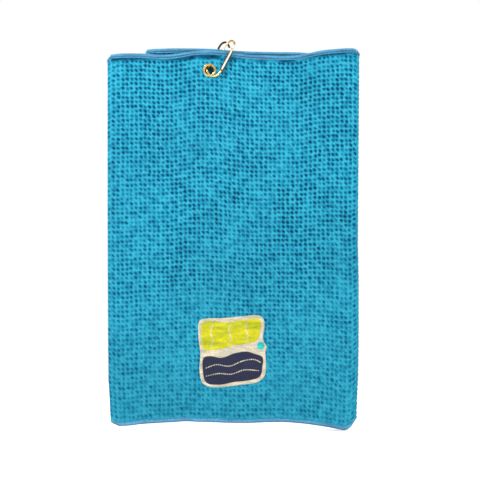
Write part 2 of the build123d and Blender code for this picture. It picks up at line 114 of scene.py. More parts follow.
# side: the way the fold bulges along X. The edges sag and rise at the middle of the turn.
Fold = namedtuple("Fold", "name x side front back top_sag bottom_rise segments pit_stretch")
LEFT_FOLD = Fold("left_fold", LEFT, -1, FRONT, REAR, 4.5, 1.2, 24, 1.0)
RIGHT_FOLD = Fold("right_fold", RIGHT, 1, FRONT, MIDDLE, 2.6, 3.0, 12, 1.2)


# ------------------------------------------------------------------ shape of the cloth
def smooth_at(profile, x):
    """Height of a smooth curve through the profile's points."""
    xs, zs = np.transpose(profile)
    slope = np.gradient(zs, xs)
    x = np.clip(x, xs[0], xs[-1])
    i = np.clip(np.searchsorted(xs, x) - 1, 0, len(xs) - 2)
    width = xs[i + 1] - xs[i]
    t = (x - xs[i]) / width
    return ((2 * t**3 - 3 * t**2 + 1) * zs[i] + (t**3 - 2 * t**2 + t) * width * slope[i]
            + (3 * t**2 - 2 * t**3) * zs[i + 1] + (t**3 - t**2) * width * slope[i + 1])


def hem_height(layer, at_top, x):
    return smooth_at(layer.top, x) if at_top else smooth_at(BOTTOM, x) + layer.lift


def smoothstep(value, start, end):
    t = np.clip((value - start) / (end - start), 0, 1)
    return t * t * (3 - 2 * t)


def bell(value, centre, width):
    return np.exp(-((value - centre) / width) ** 2)


def value_noise(x, z, scale, seed):
    """Smooth repeatable noise in -1..1."""
    size = 64
    lattice = np.random.RandomState(seed).uniform(-1, 1, (size, size))
    u, v = x / scale + 20, z / scale + 20
    i, j = np.floor(u).astype(int), np.floor(v).astype(int)
    a, b = u - i, v - j
    a, b = a * a * (3 - 2 * a), b * b * (3 - 2 * b)
    i0, i1, j0, j1 = i % size, (i + 1) % size, j % size, (j + 1) % size
    return (lattice[i0, j0] * (1 - a) * (1 - b) + lattice[i1, j0] * a * (1 - b)
            + lattice[i0, j1] * (1 - a) * b + lattice[i1, j1] * a * b)


def wave(x, z):
    """Soft lie of the stacked cloth, shared by the layers: negative is towards the front."""
    calm = smoothstep(np.hypot((x - EYELET_X - 6) / 34.0, (z - EYELET_Z - 6) / 34.0), 0.75, 1.5)
    lie = 0.9 * value_noise(x, z, 95, seed=3) + 0.45 * value_noise(x, z * 0.8, 42, seed=5)
    # flatter under the emblem, with small gathers around its rim
    reach = np.hypot((x - EMBLEM_X) / EMBLEM_RX, (z - EMBLEM_Z) / EMBLEM_RZ)
    angle = np.arctan2(z - EMBLEM_Z, x - EMBLEM_X)
    gathers = 0.28 * np.sin(angle * 17 + 1.3) * np.sin(angle * 5 + 0.4) - 0.12
    lie = lie * (0.25 + 0.75 * smoothstep(reach, 0.7, 1.5)) + bell(reach, 1.12, 0.14) * gathers
    inner = smoothstep(z, -2, 16) * smoothstep(410 - z, 0, 14)
    # hem ripples: the tape is shorter than the cloth, so the edges pucker
    near_hem = (1 - smoothstep(z, 8, 26)) + (1 - smoothstep(408 - z, 6, 24))
    ripple = 0.35 * np.sin(x / 9.5 + 0.8 * np.sin(x / 31)) + 0.2 * np.sin(x / 4.1 + 1.0)
    return (lie * (0.4 + 0.6 * inner) + near_hem * ripple) * calm


def eyelet_pucker(x, z):
    """Pull of the eyelet on the front layer's face."""
    distance = np.hypot(x - EYELET_X, z - EYELET_Z)
    angle = np.arctan2(z - EYELET_Z, x - EYELET_X)
    return (bell(distance, 10.5, 4.0) * (0.16 * np.sin(angle * 9 + 0.6))
            + 0.45 * bell(distance, 7.2, 1.7))


def warp_x(x, z):
    """Lean of the side edges, fading towards the middle."""
    u = np.clip((x - LEFT) / (RIGHT - LEFT), 0, 1)
    left_shift = np.interp(z, *np.transpose(LEFT_LEAN))
    right_shift = np.interp(z, *np.transpose(RIGHT_LEAN))
    return x + left_shift * (1 - u) ** 3 + right_shift * u ** 3


def row_height(v, bottom, top):
    """Height at fraction v: the row pitch is a little larger at the bottom."""
    return bottom + (top - bottom) * (v + 0.035 * v * (1 - v))


def pit(column, row, seed):
    """Depth of the waffle pits, each running from upper left to lower right."""
    size = 128
    random = np.random.RandomState(seed)
    i, j = np.floor(column).astype(int), np.floor(row).astype(int)
    shift_x = random.uniform(-0.12, 0.12, (size, size))
    shift_z = random.uniform(-0.12, 0.12, (size, size))
    depth = random.uniform(0.5, 1.2, (size, size))
    cell = (i % size, j % size)
    a = column - i - 0.5 + shift_x[cell]
    b = row - j - 0.5 + shift_z[cell]
    along = (a - b) / math.sqrt(2)
    across = (a + b) / math.sqrt(2)
    return depth[cell] * np.exp(-(np.abs(along) / 0.40) ** 2.4 - (np.abs(across) / 0.215) ** 2.0)


# ------------------------------------------------------------------ mesh helpers
def mesh_object(name, verts_mm, faces, pit_values=None, recalc=False):
    """Smooth-shaded object from millimetre vertices; recalc turns the faces outwards."""
    mesh = bpy.data.meshes.new(name)
    mesh.from_pydata((np.asarray(verts_mm) / MM).tolist(), [],
                     [tuple(int(i) for i in face) for face in faces])
    mesh.validate()
    mesh.update()
    mesh.polygons.foreach_set("use_smooth", [True] * len(mesh.polygons))
    if pit_values is not None:
        # pit depth, which the cloth shader also turns into painted shade in the pits
        attribute = mesh.attributes.new("pit", "FLOAT", "POINT")
        attribute.data.foreach_set("value", np.asarray(pit_values, np.float32))
    piece = bpy.data.objects.new(name, mesh)
    bpy.context.collection.objects.link(piece)
    if recalc:
        work = bmesh.new()
        work.from_mesh(mesh)
        bmesh.ops.recalc_face_normals(work, faces=work.faces)
        work.to_mesh(mesh)
        work.free()
    return piece


def slab(name, outer, inner, pit_outer, pit_inner, hole=None):
    """Closed sheet from two equal vertex grids; hole masks quads left out."""
    n, m = outer.shape[:2]
    verts = np.concatenate([outer.reshape(-1, 3), inner.reshape(-1, 3)])
    count = n * m
    i, j = np.meshgrid(np.arange(n - 1), np.arange(m - 1), indexing="ij")
    corner = i * m + j
    quads = np.stack([corner, corner + m, corner + m + 1, corner + 1], -1)
    quads = quads.reshape(-1, 4) if hole is None else quads[~hole]
    # rim: every edge used by one kept quad only
    edges = np.concatenate([quads[:, [a, (a + 1) % 4]] for a in range(4)])
    ordered = np.sort(edges, 1)
    code = ordered[:, 0].astype(np.int64) * (count + 1) + ordered[:, 1]
    _, first, uses = np.unique(code, return_index=True, return_counts=True)
    rim = edges[first[uses == 1]]
    sides = np.stack([rim[:, 1], rim[:, 0], rim[:, 0] + count, rim[:, 1] + count], -1)
    faces = np.concatenate([quads, quads[:, ::-1] + count, sides])
    used = np.unique(faces)
    renumber = -np.ones(2 * count, int)
    renumber[used] = np.arange(len(used))
    pits = np.concatenate([pit_outer.ravel(), pit_inner.ravel()])[used]
    return mesh_object(name, verts[used], renumber[faces], pit_values=pits)


def tube_faces(rings, sides, base=0):
    """Faces of a capped tube whose rings of vertices follow each other from base."""
    ring, side = np.meshgrid(np.arange(rings - 1), np.arange(sides), indexing="ij")
    here = base + ring * sides + side
    beside = base + ring * sides + (side + 1) % sides
    quads = np.stack([here, beside, beside + sides, here + sides], -1).reshape(-1, 4).tolist()
    last = base + (rings - 1) * sides
    return quads + [range(base + sides - 1, base - 1, -1), range(last, last + sides)]


def path_lengths(points):
    steps = np.linalg.norm(np.diff(points, axis=0), axis=1)
    return np.concatenate([[0], np.cumsum(steps)])


def catmull_rom(before, start, end, after, t):
    return 0.5 * (2 * start + (-before + end) * t
                  + (2 * before - 5 * start + 4 * end - after) * t**2
                  + (-before + 3 * start - 3 * end + after) * t**3)


def finish_piece(piece, material, body=None, node=None):
    """Give the piece its material, parent it to its body's empty and hide the CAD node it
    replaces.
    """
    piece.data.materials.clear()
    piece.data.materials.append(material)
    if body:
        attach(piece, body)
    if node:
        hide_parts(node)


# ------------------------------------------------------------------ shader helpers
def set_inputs(tree, node, inputs):
    """Link the inputs given as sockets and set the others."""
    for key, value in inputs.items():
        if isinstance(value, bpy.types.NodeSocket):
            tree.links.new(value, node.inputs[key])
        else:
            node.inputs[key].default_value = value


def add_node(tree, kind, inputs=None, **settings):
    node = tree.nodes.new("ShaderNode" + kind)
    for key, value in settings.items():
        setattr(node, key, value)
    set_inputs(tree, node, inputs or {})
    return node


def new_material(name):
    material = bpy.data.materials.new(name)
    material.use_nodes = True
    tree = material.node_tree
    tree.nodes.clear()
    shader = add_node(tree, "BsdfPrincipled")
    add_node(tree, "OutputMaterial", {"Surface": shader.outputs[0]})
    return material, tree, shader


def node_of_type(tree, kind):
    return next(node for node in tree.nodes if node.type == kind)


def object_position(tree):
    return add_node(tree, "TexCoord").outputs["Object"]


def noise(tree, position, scale, detail, roughness=0.5):
    inputs = {"Scale": scale, "Detail": detail, "Roughness": roughness}
    if position:
        inputs["Vector"] = position
    return add_node(tree, "TexNoise", inputs).outputs[0]


def math_node(tree, operation, *values):
    return add_node(tree, "Math", dict(enumerate(values)), operation=operation).outputs[0]


def map_range(tree, value, source, target=(0.0, 1.0), **settings):
    """Map the value from the source range to the target range."""
    inputs = dict(enumerate((value, *source, *target)))
    return add_node(tree, "MapRange", inputs, **settings).outputs[0]


def color_ramp(tree, value, stops):
    """Colour ramp with stops (position, RGBA) in rising order."""
    node = add_node(tree, "ValToRGB", {0: value})
    elements = node.color_ramp.elements
    elements[0].position, elements[0].color = stops[0]
    elements[1].position, elements[1].color = stops[-1]
    for position, color in stops[1:-1]:
        elements.new(position).color = color
    return node.outputs[0]


def mix_color(tree, first, second, blend="MULTIPLY", factor=1.0):
    # inputs 6 and 7 and output 2 are the colour sockets
    return add_node(tree, "Mix", {0: factor, 6: first, 7: second},
                    data_type="RGBA", blend_type=blend).outputs[2]


def bump(tree, height, strength, distance, normal=None):
    inputs = {"Height": height, "Strength": strength, "Distance": distance}
    if normal:
        inputs["Normal"] = normal
    return add_node(tree, "Bump", inputs).outputs[0]


def srgb(red, green, blue):
    """Linear RGBA from sRGB values in 0..255."""
    channels = (c / 255 for c in (red, green, blue))
    return tuple(c / 12.92 if c <= 0.04045 else ((c + 0.055) / 1.055) ** 2.4
                 for c in channels) + (1,)


# ------------------------------------------------------------------ cloth and thread materials
def cloth_material():
    material, tree, shader = new_material("waffle_cloth")
    position = object_position(tree)
    depth = add_node(tree, "Attribute", attribute_name="pit").outputs["Fac"]
    pile = noise(tree, position, scale=900.0, detail=4.0, roughness=0.65)
    broad = noise(tree, position, scale=9.0, detail=3.0)
    clumps = noise(tree, position, scale=160.0, detail=3.0, roughness=0.6)
    # painted shade: the colour darkens with the depth of the pit, broken up by the pile
    depth = math_node(tree, "MULTIPLY_ADD", clumps, 0.55, depth)
    depth = math_node(tree, "SUBTRACT", depth, 0.26)
    color = color_ramp(tree, depth, [(0.0, srgb(46, 172, 200)), (0.16, srgb(22, 140, 172)),
                                     (0.42, srgb(0, 88, 124)), (0.85, srgb(0, 36, 66))])
    shade = color_ramp(tree, broad, [(0.3, (0.84, 0.86, 0.88, 1)), (0.7, (1.06, 1.04, 1.03, 1))])
    color = mix_color(tree, color, shade)
    fuzz = color_ramp(tree, pile, [(0.3, (0.30, 0.70, 0.78, 1)), (0.7, (2.1, 1.24, 1.16, 1))])
    color = mix_color(tree, color, fuzz)
    # painted shade: the colour is a little darker towards the bottom hem
    height = add_node(tree, "SeparateXYZ", {0: position}).outputs[2]
    painted_shade_by_height = map_range(tree, height, source=(0.0, 0.4), target=(0.78, 1.0))
    color = add_node(tree, "VectorMath", {0: color, "Scale": painted_shade_by_height}, operation="SCALE")
    fine_bump = bump(tree, pile, strength=0.55, distance=0.0004)
    set_inputs(tree, shader, {
        "Base Color": color.outputs[0],
        "Roughness": 0.88,
        "Sheen Weight": 0.10,
        "Sheen Roughness": 0.5,
        "Sheen Tint": (0.5, 0.85, 1, 1),
        "Specular IOR Level": 0.12,
        "Normal": bump(tree, clumps, strength=0.6, distance=0.0008, normal=fine_bump)})
    return material


def paint_underside_shade(tree, color):
    """Painted shade: darken the colour of faces that look down."""
    normal = add_node(tree, "NewGeometry").outputs["True Normal"]
    normal_z = add_node(tree, "SeparateXYZ", {0: normal}).outputs[2]
    upward = map_range(tree, normal_z, source=(-0.60, -0.02))
    shade = color_ramp(tree, upward, [(0.0, (0.10, 0.20, 0.30, 1)), (1.0, (1, 1, 1, 1))])
    return mix_color(tree, color, shade)


def thread_material(name, dark, light, across, size=0.0008, roughness=0.5, sheen=0.0,
                    relief=0.5, dark_underside=False):
    """Parallel thread ridges with noise.

    across: (x, z) direction across the ridges. size: thread size in metres; the bands
    repeat at about 0.63 of it.
    """
    material, tree, shader = new_material(name)
    position = object_position(tree)
    turn = math.atan2(across[1], across[0])
    turned = add_node(tree, "Mapping", {"Vector": position, "Rotation": (0, turn, 0)}).outputs[0]
    bands = add_node(tree, "TexWave", {"Vector": turned, "Scale": 3.14 / 6.2832 / size,
                                       "Distortion": 1.2, "Detail": 2.0},
                     wave_type="BANDS", bands_direction="X").outputs["Fac"]
    grain = noise(tree, position, scale=420.0, detail=3.0)
    half_bands = math_node(tree, "MULTIPLY", bands, 0.5)
    ridges = math_node(tree, "MULTIPLY_ADD", grain, 0.5, half_bands)
    color = color_ramp(tree, ridges, [(0.2, srgb(*dark)), (0.75, srgb(*light))])
    # slow unevenness, drawn out along X
    drawn = add_node(tree, "Mapping", {"Vector": position, "Scale": (0.35, 1.0, 1.6)}).outputs[0]
    slow = noise(tree, drawn, scale=150.0, detail=3.0)
    tone = color_ramp(tree, slow, [(0.32, (0.66, 0.72, 0.76, 1)), (0.68, (1.28, 1.20, 1.16, 1))])
    color = mix_color(tree, color, tone)
    # painted shade on faces that look down
    if dark_underside:
        color = paint_underside_shade(tree, color)
    set_inputs(tree, shader, {
        "Base Color": color,
        "Roughness": roughness,
        "Sheen Weight": sheen,
        "Normal": bump(tree, ridges, strength=relief, distance=0.0004)})
    return material


CLOTH = cloth_material()
# the tape's downward faces take painted shade
TAPE = thread_material("binding_tape", (18, 92, 140), (84, 182, 218), across=(0, 1),
                       roughness=0.40, sheen=0.10, relief=0.6, dark_underside=True)
THREAD = thread_material("sewing_thread", (22, 90, 136), (84, 168, 206), across=(1, 0),
                         size=0.0006, sheen=0.1)
CREAM = thread_material("emblem_cream", (186, 174, 142), (244, 234, 210), across=(1, 0.3),
                        roughness=0.55, relief=0.9)
LIME = thread_material("emblem_lime", (176, 176, 0), (232, 228, 0), across=(1, 0.6), relief=0.9)
NAVY = thread_material("emblem_navy", (3, 6, 24), (30, 38, 82), across=(1, -0.5), relief=0.9)
CYAN = thread_material("emblem_cyan", (0, 150, 150), (0, 214, 208), across=(0, 1))


# ------------------------------------------------------------------ cloth
def layer_span(layer, inset):
    """Left and right ends of a layer, drawn in at its open side."""
    return (layer.left + inset if layer.open_side < 0 else layer.left,
            layer.right - inset if layer.open_side > 0 else layer.right)


def hem_shadow_pits(x, z, below):
    """Dents just below the front's top hem: a crease by the eyelet and a shallow lip. As pit
    values they also darken the cloth colour there, a painted shadow under the hem.
    """
    crease = bell(below, 1.2, 2.4) * smoothstep(x, -78, -40) * smoothstep(-x, -2, 24)
    crease = crease * np.clip(0.72 + 0.55 * value_noise(x, z, 5.5, seed=43), 0.2, 1.2)
    lip = bell(below, 0.4, 1.8) * (0.35 + 0.3 * value_noise(x, z, 14, seed=41))
    return np.maximum(0.85 * crease, lip)


def eyelet_hole(x, z):
    """Mask of the quads inside the hole, and x and z with its rim snapped to a circle."""
    dx, dz = x - EYELET_X, z - EYELET_Z
    distance = np.hypot(dx, dz)
    inside = distance < HOLE_RADIUS
    hole = inside[:-1, :-1] & inside[1:, :-1] & inside[:-1, 1:] & inside[1:, 1:]
    on_cloth = np.zeros_like(inside)
    for corner in (on_cloth[:-1, :-1], on_cloth[1:, :-1], on_cloth[:-1, 1:], on_cloth[1:, 1:]):
        corner |= ~hole
    snap = inside & on_cloth
    distance = np.maximum(distance, 1e-6)
    x = np.where(snap, EYELET_X + dx / distance * HOLE_RADIUS, x)
    z = np.where(snap, EYELET_Z + dz / distance * HOLE_RADIUS, z)
    return hole, x, z


def panel(layer, seed):
    """One flat layer, with the waffle relief on its outer face."""
    left, right = layer_span(layer, 1.0)
    columns = int(round((right - left) / PIT_PITCH))
    U, V = np.meshgrid(np.linspace(0, 1, columns * CELL_STEPS + 1),
                       np.linspace(0, 1, PIT_ROWS * CELL_STEPS + 1), indexing="ij")
    x = left + (right - left) * U
    top = hem_height(layer, True, x) - CLOTH_INSET
    bottom = hem_height(layer, False, x) + CLOTH_INSET
    z = row_height(V, bottom, top)
    column, row = U * columns + CELL_ORIGIN, V * PIT_ROWS
    # softer and shallower towards the bottom
    soft = 0.55 + 0.45 * smoothstep(z, 40, 330)
    pit_outer = (pit(column, row, seed) * (0.80 + 0.20 * value_noise(x, z, 28, seed=31))
                 * (0.7 + 0.3 * soft) * (0.62 + 0.38 * smoothstep(z, 30, 240)))
    pit_inner = pit(column + 0.5, row + 0.5, seed + 50)
    if layer is FRONT:
        pit_outer = np.maximum(pit_outer, hem_shadow_pits(x, z, top - 4.2 - z))
    # the threads wander a little, but not at the edges
    wander_x = 0.6 * value_noise(x, z, 60, seed=11 + seed)
    wander_z = 0.5 * value_noise(x, z, 50, seed=12 + seed)
    hem_free = smoothstep(z - bottom, -0.1, 4.0) * smoothstep(top - z, -0.1, 4.0)
    side_free = smoothstep(x, left, left + 12) * smoothstep(-x, -right, -right + 12)
    out_x = warp_x(x + wander_x * hem_free * side_free, z)
    out_z = z + wander_z * hem_free
    front_y = layer.y + wave(x, z)
    back_y = front_y + CLOTH_T
    if layer.face < 0:
        outer_y = (front_y - 0.25 + PIT_DEPTH * pit_outer - 0.10 * (1 - pit_outer)
                   + eyelet_pucker(x, z) * 0.8)
        inner_y = np.maximum(back_y + 0.05, outer_y + 0.25)
    else:
        outer_y = back_y + 0.2 - PIT_DEPTH * pit_outer
        inner_y = np.minimum(front_y - 0.05, outer_y - 0.25)
    hole = None
    if layer.pierced:
        hole, out_x, out_z = eyelet_hole(out_x, out_z)
    outer = np.stack([out_x, outer_y, out_z], -1)
    inner = np.stack([out_x, inner_y, out_z], -1)
    pit_inner = 0.25 + 0.5 * pit_inner
    if layer.face > 0:
        # reversed columns turn the winding outwards
        outer, inner, pit_outer, pit_inner = (
            grid[::-1] for grid in (outer, inner, pit_outer, pit_inner))
        hole = None if hole is None else hole[::-1]
    piece = slab(layer.name + "_cloth", outer, inner, pit_outer, pit_inner, hole)
    finish_piece(piece, CLOTH, layer.body, layer.name + "_panel")


def fold_radius(fold):
    """Radius of the turn, to the middle of the cloth."""
    return (fold.back.y - fold.front.y) / 2


def fold_edge(fold, turn, at_top):
    """Edge height around the fold; turn goes from -pi/2 at the front to pi/2 at the back."""
    share = (turn + math.pi / 2) / math.pi
    front_z = hem_height(fold.front, at_top, fold.x)
    back_z = hem_height(fold.back, at_top, fold.x)
    sag = -fold.top_sag if at_top else fold.bottom_rise
    return front_z + (back_z - front_z) * share + sag * np.cos(turn)


def fold_points(fold, turn, radius, z):
    centre_y = (fold.front.y + fold.back.y + CLOTH_T) / 2
    return np.stack([warp_x(fold.x, z) + fold.side * radius * np.cos(turn),
                     centre_y + wave(fold.x, z) + radius * np.sin(turn), z], -1)


def fold_cloth(fold):
    """Cloth turned through half a circle between two layers."""
    radius = fold_radius(fold)
    turn, V = np.meshgrid(np.linspace(-math.pi / 2, math.pi / 2, fold.segments + 1),
                          np.linspace(0, 1, PIT_ROWS * CELL_STEPS + 1), indexing="ij")
    z = row_height(V, fold_edge(fold, turn, False) + CLOTH_INSET,
                   fold_edge(fold, turn, True) - CLOTH_INSET)
    arc = (turn + math.pi / 2) * radius / PIT_PITCH * fold.pit_stretch
    pits = pit(CELL_ORIGIN + fold.side * arc, V * PIT_ROWS, seed=1) * 0.75 * np.cos(turn) ** 0.5
    outer = fold_points(fold, turn, radius + CLOTH_T / 2 + 0.2 - 0.9 * pits, z)
    inner = fold_points(fold, turn, radius - CLOTH_T / 2, z)
    if fold.side < 0:
        outer, inner, pits = outer[::-1], inner[::-1], pits[::-1]
    return slab(fold.name + "_cloth", outer, inner, pits, np.full_like(pits, 0.3))


def blend_left_fold(piece):
    """Bake the left fold's placement into its mesh; the fold lies between the front of the towel
    and the rear layer.
    """
    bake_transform(piece)


for seed, layer in enumerate(LAYERS, start=1):
    panel(layer, seed)
left_cloth = fold_cloth(LEFT_FOLD)
right_cloth = fold_cloth(RIGHT_FOLD)
finish_piece(right_cloth, CLOTH, "towel", "right_fold")
finish_piece(left_cloth, CLOTH, None, "left_fold")
blend_left_fold(left_cloth)


# ------------------------------------------------------------------ binding tape
def tape_section():
    """Closed loop of the folded tape: (depth from the hem's edge, offset from mid-cloth)."""
    half = CLOTH_T / 2 + 0.3
    # (distance back from the tape's deep edge, offset beyond half)
    steps = [(0, -0.25), (0.35, 0.08), (0.9, -0.02), (1.25, -0.22), (1.7, 0.10),
             (2.5, 0.42), (3.3, 0.50), (4.0, 0.36), (4.6, -0.10), (4.92, -0.6)]
    face = [(HEM_DEPTH - back, half + offset) for back, offset in steps]
    return face + [(0.0, 0.0)] + [(depth, -offset) for depth, offset in reversed(face)]


TAPE_SECTION = tape_section()


def tape(name, edge, inward, normal, seed, body=None, node=None, thickness=1.0):
    """Sweep the section along the hem edge; inward points into the cloth."""
    length = path_lengths(edge)
    phase = np.random.RandomState(seed).uniform(0, 6.28, 4)
    stitch = 0.12 * np.cos(length / STITCH_PITCH * 2 * math.pi)
    slow = 0.16 * np.sin(length / 13.0 + phase[0]) + 0.12 * np.sin(length / 7.3 + phase[1])
    lines = []
    for depth, offset in TAPE_SECTION:
        side = 1 if offset >= 0 else -1
        swell = max(1 - abs(depth - 1.7) / 2.2, 0) * slow * 0.8
        if abs(offset) > 0.3:
            swell = swell + (0.6 if 2.6 < depth < 4.2 else 0.2) * stitch
        out = offset * thickness + side * swell
        down = depth + (0.22 * slow if depth > 4 else 0.10 * stitch)
        lines.append(edge + inward * down[:, None] + normal * out[:, None])
    rings = np.stack(lines, 1)
    piece = mesh_object(name, rings.reshape(-1, 3), tube_faces(*rings.shape[:2]), recalc=True)
    finish_piece(piece, TAPE, body, node)
    return piece


def hem_line(layer, at_top, inset=0.0):
    """Mid-cloth points along a top or bottom edge."""
    left, right = layer_span(layer, inset)
    x = np.linspace(left, right, int((right - left) / 0.75) + 1)
    z = hem_height(layer, at_top, x)
    return np.stack([warp_x(x, z), layer.y + CLOTH_T / 2 + wave(x, z), z], -1)


def side_line(layer, end_gap, count):
    """Mid-cloth points up a layer's open side edge."""
    x = layer.left if layer.open_side < 0 else layer.right
    z = np.linspace(hem_height(layer, False, x) + end_gap,
                    hem_height(layer, True, x) - end_gap, count)
    return np.stack([warp_x(x, z), layer.y + CLOTH_T / 2 + wave(x, z), z], -1)


def inward_z(at_top):
    """Unit vector from a top or bottom edge into the cloth."""
    return np.array([0, 0, -1.0 if at_top else 1.0])


TO_FRONT = np.array([0, -1.0, 0])


def hem_tape(layer, at_top, seed):
    place = layer.name + ("_top" if at_top else "_bottom")
    tape(place + "_tape", hem_line(layer, at_top), inward_z(at_top), TO_FRONT, seed,
         layer.body, place + "_binding")


def side_tape(layer, seed):
    tape(layer.name + "_side_tape", side_line(layer, end_gap=0.4, count=520),
         np.array([-float(layer.open_side), 0, 0]), TO_FRONT, seed,
         layer.body, layer.name + "_side_binding", thickness=0.97)


def fold_tape(fold):
    """Upper and lower tape around a fold, joined into one object."""
    name = fold.name + "_tape"
    turn = np.linspace(-math.pi / 2, math.pi / 2, 25)
    normal = np.stack([fold.side * np.cos(turn), np.sin(turn), np.zeros_like(turn)], -1)
    parts = []
    for suffix, at_top, seed in (("_u", True, 9), ("_l", False, 10)):
        edge = fold_points(fold, turn, fold_radius(fold), fold_edge(fold, turn, at_top))
        parts.append(tape(name + suffix, edge, inward_z(at_top), normal, seed))
    bpy.ops.object.select_all(action="DESELECT")
    for part in parts:
        part.select_set(True)
    piece = parts[0]
    bpy.context.view_layer.objects.active = piece
    bpy.ops.object.join()
    piece.name = name
    piece.data.name = name
    return piece


for index, layer in enumerate(LAYERS):
    hem_tape(layer, True, seed=2 * index + 1)
    hem_tape(layer, False, seed=2 * index + 2)
side_tape(MIDDLE, seed=7)
side_tape(REAR, seed=8)

left_tape = fold_tape(LEFT_FOLD)
finish_piece(left_tape, TAPE, None, "left_fold_binding")
blend_left_fold(left_tape)
right_tape = fold_tape(RIGHT_FOLD)
finish_piece(right_tape, TAPE, "towel", "right_fold_binding")


# ------------------------------------------------------------------ stitches
# Each stitch is a six-sided tube; one lift off the tape and one radius per ring
STITCH_LIFT = np.array([-0.10, 0.10, 0.17, 0.19, 0.17, 0.10, -0.10])
STITCH_RADIUS = np.array([0.10, 0.22, 0.26, 0.27, 0.26, 0.22, 0.10])
STITCH_SIDES = 6


def hem_seam(layer, at_top):
    """Seam line along a hem, and the face it lies on."""
    line = hem_line(layer, at_top, inset=3.5) + SEAM_INSET * inward_z(at_top)
    line[:, 1] += layer.face * (CLOTH_T / 2 + 0.08)
    return line, layer.face


def side_seam(layer, face):
    line = side_line(layer, end_gap=4.5, count=400)
    line[:, 0] -= layer.open_side * SEAM_INSET
    line[:, 1] += face * (CLOTH_T / 2 + 0.06)
    return line, face


def stitches(layer, side_faces=()):
    """Rows of short lockstitches along the hems and on the given faces of the open side."""
    seams = [hem_seam(layer, True), hem_seam(layer, False)]
    seams += [side_seam(layer, face) for face in side_faces]
    rings = len(STITCH_LIFT)
    angle = np.arange(STITCH_SIDES) * math.pi / 3
    rise = STITCH_LIFT[:, None] + STITCH_RADIUS[:, None] * np.sin(angle)
    spread = STITCH_RADIUS[:, None] * np.cos(angle)
    verts, faces = [], []
    for line, face in seams:
        length = path_lengths(line)
        total = length[-1]
        count = int(total / STITCH_PITCH)
        outward = np.array([0, face, 0.0])
        for i in range(count):
            stations = np.linspace((i + 0.14) * total / count, (i + 0.86) * total / count, rings)
            centre = np.stack([np.interp(stations, length, line[:, a]) for a in range(3)], -1)
            along = centre[-1] - centre[0]
            along /= np.linalg.norm(along)
            across = np.cross(along, outward)
            across /= np.linalg.norm(across)
            tube = centre[:, None] + outward * rise[..., None] + across * spread[..., None]
            faces += tube_faces(rings, STITCH_SIDES, base=len(verts))
            verts.extend(tube.reshape(-1, 3))
    piece = mesh_object(layer.name + "_hem_stitches", verts, faces, recalc=True)
    finish_piece(piece, THREAD, layer.body, layer.name + "_stitching")


stitches(FRONT)
stitches(MIDDLE, side_faces=(1,))
stitches(REAR, side_faces=(1, -1))


# ------------------------------------------------------------------ emblem
def closed_curve(points, count=220):
    """Smooth closed outline through the points."""
    points = np.array(points, float)
    corners = len(points)
    t = np.arange(count) / count * corners
    i = t.astype(int)
    before, start, end, after = (points[(i + k) % corners] for k in (-1, 0, 1, 2))
    return catmull_rom(before, start, end, after, (t - i)[:, None])


def inside_and_distance(outline, X, Z):
    """Inside test, distance to and nearest point on a closed polyline."""
    inside = np.zeros(X.shape, bool)
    best = np.full(X.shape, 1e9)
    near_x, near_z = np.zeros(X.shape), np.zeros(X.shape)
    for start, end in zip(outline, np.roll(outline, -1, 0)):
        crosses = (start[1] > Z) != (end[1] > Z)
        cross_x = ((end[0] - start[0]) * (Z - start[1]) / (end[1] - start[1] + 1e-12)
                   + start[0])
        inside ^= crosses & (X < cross_x)
        edge = end - start
        t = ((X - start[0]) * edge[0] + (Z - start[1]) * edge[1]) / (edge @ edge + 1e-12)
        t = np.clip(t, 0, 1)
        x, z = start[0] + t * edge[0], start[1] + t * edge[1]
        distance = np.hypot(X - x, Z - z)
        closer = distance < best
        best = np.where(closer, distance, best)
        near_x, near_z = np.where(closer, x, near_x), np.where(closer, z, near_z)
    return inside, best, near_x, near_z


def patch(name, material, node, outline, standoff, height, step,
          ridge_angle, ridge_pitch, ridge_height, crown, bead=None):
    """Embroidered patch: a domed field of parallel threads, closed behind.

    step: grid size. crown: width of the rounded edge. bead: (width, height) of a raised rim.
    """
    curve = closed_curve(outline)
    low, high = curve.min(0) - 2 * step, curve.max(0) + 2 * step
    X, Z = np.meshgrid(np.arange(low[0], high[0], step), np.arange(low[1], high[1], step),
                       indexing="ij")
    inside, distance, near_x, near_z = inside_and_distance(curve, X, Z)
    corners_in = (inside[:-1, :-1].astype(int) + inside[1:, :-1]
                  + inside[:-1, 1:] + inside[1:, 1:])
    snapped_x, snapped_z = np.where(inside, X, near_x), np.where(inside, Z, near_z)
    depth_in = np.where(inside, distance, 0)
    across = X * math.cos(ridge_angle) + Z * math.sin(ridge_angle)
    along = -X * math.sin(ridge_angle) + Z * math.cos(ridge_angle)
    thread = np.abs(np.sin(math.pi * (across + 0.25 * np.sin(along / 2.3)) / ridge_pitch))
    dome = np.clip(depth_in / crown, 0, 1)
    dome = np.sqrt(np.clip(1 - (1 - dome) ** 2, 0, 1))
    relief = height * (0.25 + 0.75 * dome) + ridge_height * thread * dome
    # the stitching packs unevenly
    relief = relief + 0.10 * value_noise(X, Z, 3.2, seed=77) * dome
    if bead:
        width, bead_height = bead
        angle = np.arctan2(Z - curve[:, 1].mean(), X - curve[:, 0].mean())
        relief = relief + (bell(depth_in, width * 0.55, width * 0.42)
                           * (bead_height + 0.10 * np.abs(np.sin(angle * 150))))
    base_y = FRONT.y + wave(snapped_x, snapped_z) - standoff
    outer = np.stack([snapped_x, base_y - relief, snapped_z], -1)
    inner = np.stack([snapped_x, base_y + 0.25, snapped_z], -1)
    no_pits = np.zeros_like(X)
    piece = slab(name, outer, inner, no_pits, no_pits, hole=corners_in < 2)
    finish_piece(piece, material, "towel", node)


